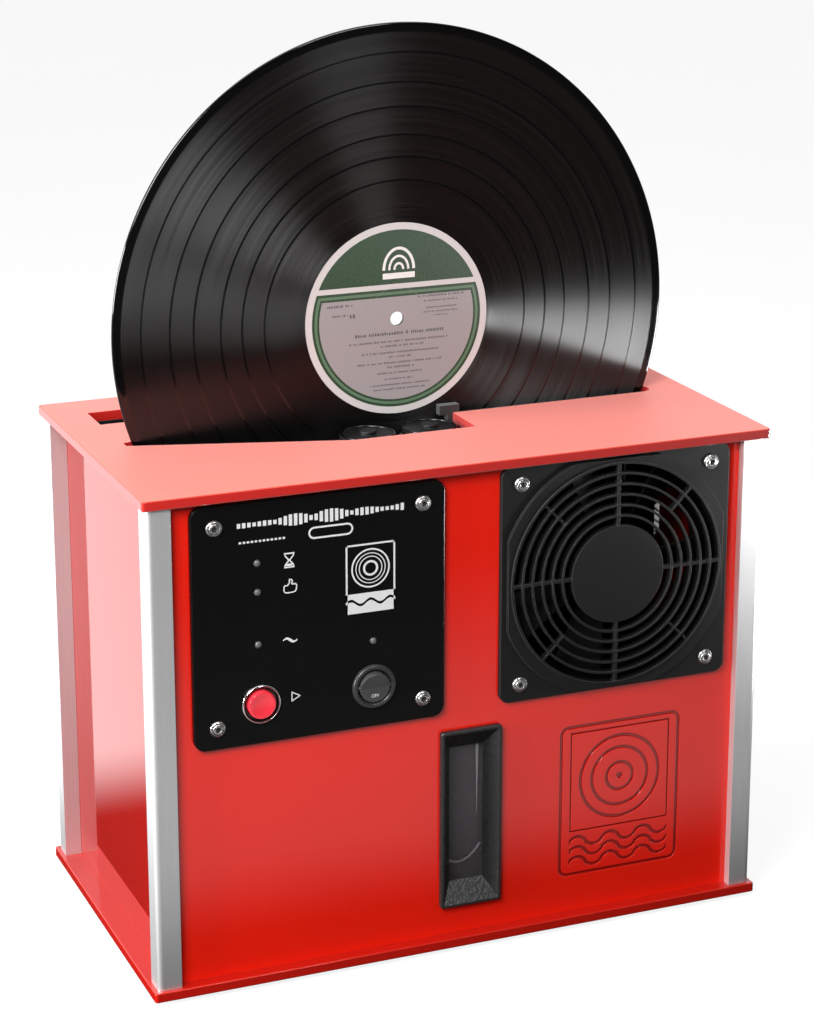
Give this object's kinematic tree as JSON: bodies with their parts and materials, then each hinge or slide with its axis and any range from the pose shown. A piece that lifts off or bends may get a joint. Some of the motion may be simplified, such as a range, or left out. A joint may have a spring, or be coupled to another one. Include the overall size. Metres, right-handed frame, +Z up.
{
  "type": "record cleaning machine",
  "caption": "Upright record washing machine: a record stands in a top slot between scrubbing drums, with start button, power switch, water window and drying fans behind ring guards.",
  "frame": {"origin": "on the floor, under the middle of the case's plates", "axes": "+X to the machine's right as seen from its control side, +Y from the front panel to the rear panel, +Z up"},
  "size_m": [0.332, 0.186, 0.4611],
  "materials": {
    "red_acrylic": "polished translucent red sheet",
    "grey_aluminium": "satin anodised extrusion",
    "black_acrylic": "black sheet with engraved pale marks",
    "black_plastic": "moulded, fine grain",
    "screw_steel": "bright plated",
    "dark_steel": "dull zinc",
    "lamp_lens": "clear domed lens",
    "chrome_ring": "polished",
    "red_button": "gloss",
    "switch_plastic": "semi gloss",
    "rocker_plastic": "fine grain",
    "window_black": "leather grain",
    "window_pane": "clear",
    "rubber_black": "matte",
    "vinyl": "pressed grooves",
    "label_paper": "printed paper",
    "tank_plastic": "dark moulded",
    "reservoir_plastic": "smoky translucent",
    "drum_plastic": "dark moulded",
    "drum_fabric": "dark microfibre",
    "foam_grey": "open-cell foam",
    "pipe_clear": "milky tube",
    "pinion_brass": "cut teeth",
    "motor_steel": "drawn can",
    "board_green": "solder mask",
    "transducer_metal": "turned"
  },
  "bodies": {
    "case": {"base_plate": "red_acrylic", "base_screws": "dark_steel", "top_plate": "red_acrylic", "post_front_left": "grey_aluminium", "post_front_right": "grey_aluminium", "post_rear_left": "grey_aluminium", "post_rear_right": "grey_aluminium", "front_panel": "red_acrylic", "rear_panel": "red_acrylic", "left_panel": "red_acrylic", "right_panel": "red_acrylic", "feet": "rubber_black", "control_plate": "black_acrylic", "control_plate_screws": "screw_steel", "indicator_leds": "lamp_lens", "start_button_bezel": "chrome_ring", "power_switch_housing": "switch_plastic", "window_bezel": "window_black", "window_pane": "window_pane", "circuit_board": "board_green", "front_fan_guard": "black_plastic", "front_guard_screws": "screw_steel", "front_fan_frame": "black_plastic", "rear_fan_guard": "black_plastic", "rear_guard_screws": "screw_steel", "rear_fan_frame": "black_plastic", "wash_tank": "tank_plastic", "wiper_blades": "rubber_black", "idler_axle": "dark_steel", "record_motor": "motor_steel", "drum_motor": "motor_steel", "gear_bracket": "dark_steel", "ultrasonic_transducer": "transducer_metal", "filter_well": "tank_plastic", "reservoir": "reservoir_plastic", "water_pump": "black_plastic", "feed_pipe": "pipe_clear", "drain_pipe": "pipe_clear", "drain_port": "black_plastic", "mains_inlet": "black_plastic", "inlet_pins": "pinion_brass"},
    "filter_cassette": {"filter_frame": "black_plastic", "filter_foam": "foam_grey"},
    "start_cap": {"start_button_cap": "red_button"},
    "switch_rocker": {"power_rocker": "rocker_plastic"},
    "front_impeller": {"front_fan_impeller": "black_plastic"},
    "rear_impeller": {"rear_fan_impeller": "black_plastic"},
    "record": {"vinyl_record": "vinyl", "record_labels": "label_paper"},
    "left_roller": {"drive_roller": "rubber_black"},
    "right_roller": {"idler_roller": "rubber_black"},
    "pinion": {"drum_pinion": "pinion_brass"},
    "front_left_drum": {"front_left_drum_core": "drum_plastic", "front_left_drum_sleeve": "drum_fabric"},
    "front_right_drum": {"front_right_drum_core": "drum_plastic", "front_right_drum_sleeve": "drum_fabric"},
    "rear_left_drum": {"rear_left_drum_core": "drum_plastic", "rear_left_drum_sleeve": "drum_fabric"},
    "rear_right_drum": {"rear_right_drum_core": "drum_plastic", "rear_right_drum_sleeve": "drum_fabric"}
  },
  "joints": [
    {"name": "filter_lift", "type": "slide", "parent": "case", "child": "filter_cassette", "axis": [0, 0, 1], "range_m": [0, 0.11]},
    {"name": "start_press", "type": "slide", "parent": "case", "child": "start_cap", "axis": [0, 1, 0], "range_m": [0, 0.0015], "stiffness_N_per_m": 800, "springref_m": -0.0005},
    {"name": "rocker_tilt", "type": "hinge", "parent": "case", "child": "switch_rocker", "pos_m": [-0.04961, -0.0894, 0.1501], "axis": [-1, 0, 0], "range_deg": [0, 15]},
    {"name": "front_fan_spin", "type": "hinge", "parent": "case", "child": "front_impeller", "pos_m": [0.0818, -0.083, 0.1916], "axis": [0, 1, 0], "continuous": true},
    {"name": "rear_fan_spin", "type": "hinge", "parent": "case", "child": "rear_impeller", "pos_m": [0.0818, 0.083, 0.1916], "axis": [0, 1, 0], "continuous": true},
    {"name": "record_spin", "type": "hinge", "parent": "case", "child": "record", "pos_m": [0, 0.0033, 0.3103], "axis": [0, 1, 0], "continuous": true},
    {"name": "left_roller_spin", "type": "hinge", "parent": "case", "child": "left_roller", "pos_m": [-0.08484, 0.0033, 0.17453], "axis": [0, 1, 0], "continuous": true},
    {"name": "right_roller_spin", "type": "hinge", "parent": "case", "child": "right_roller", "pos_m": [0.08484, 0.0033, 0.17453], "axis": [0, 1, 0], "continuous": true},
    {"name": "front_left_drum_spin", "type": "hinge", "parent": "case", "child": "front_left_drum", "pos_m": [-0.0225, -0.0137, 0.146], "axis": [0, 0, 1], "continuous": true},
    {"name": "front_right_drum_spin", "type": "hinge", "parent": "case", "child": "front_right_drum", "pos_m": [0.0115, -0.0137, 0.146], "axis": [0, 0, 1], "continuous": true},
    {"name": "rear_left_drum_spin", "type": "hinge", "parent": "case", "child": "rear_left_drum", "pos_m": [-0.0225, 0.0203, 0.146], "axis": [0, 0, 1], "continuous": true},
    {"name": "rear_right_drum_spin", "type": "hinge", "parent": "case", "child": "rear_right_drum", "pos_m": [0.0115, 0.0203, 0.146], "axis": [0, 0, 1], "continuous": true},
    {"name": "pinion_spin", "type": "hinge", "parent": "case", "child": "pinion", "pos_m": [-0.04159, -0.03279, 0.146], "axis": [0, 0, 1], "continuous": true}
  ],
  "couplings": [
    {"joint": "left_roller_spin", "follows": "record_spin", "ratio": -16.756},
    {"joint": "right_roller_spin", "follows": "record_spin", "ratio": -16.756},
    {"joint": "front_right_drum_spin", "follows": "front_left_drum_spin", "ratio": -1},
    {"joint": "rear_left_drum_spin", "follows": "front_left_drum_spin", "ratio": -1},
    {"joint": "rear_right_drum_spin", "follows": "front_left_drum_spin", "ratio": 1},
    {"joint": "pinion_spin", "follows": "front_left_drum_spin", "ratio": -1.7}
  ]
}
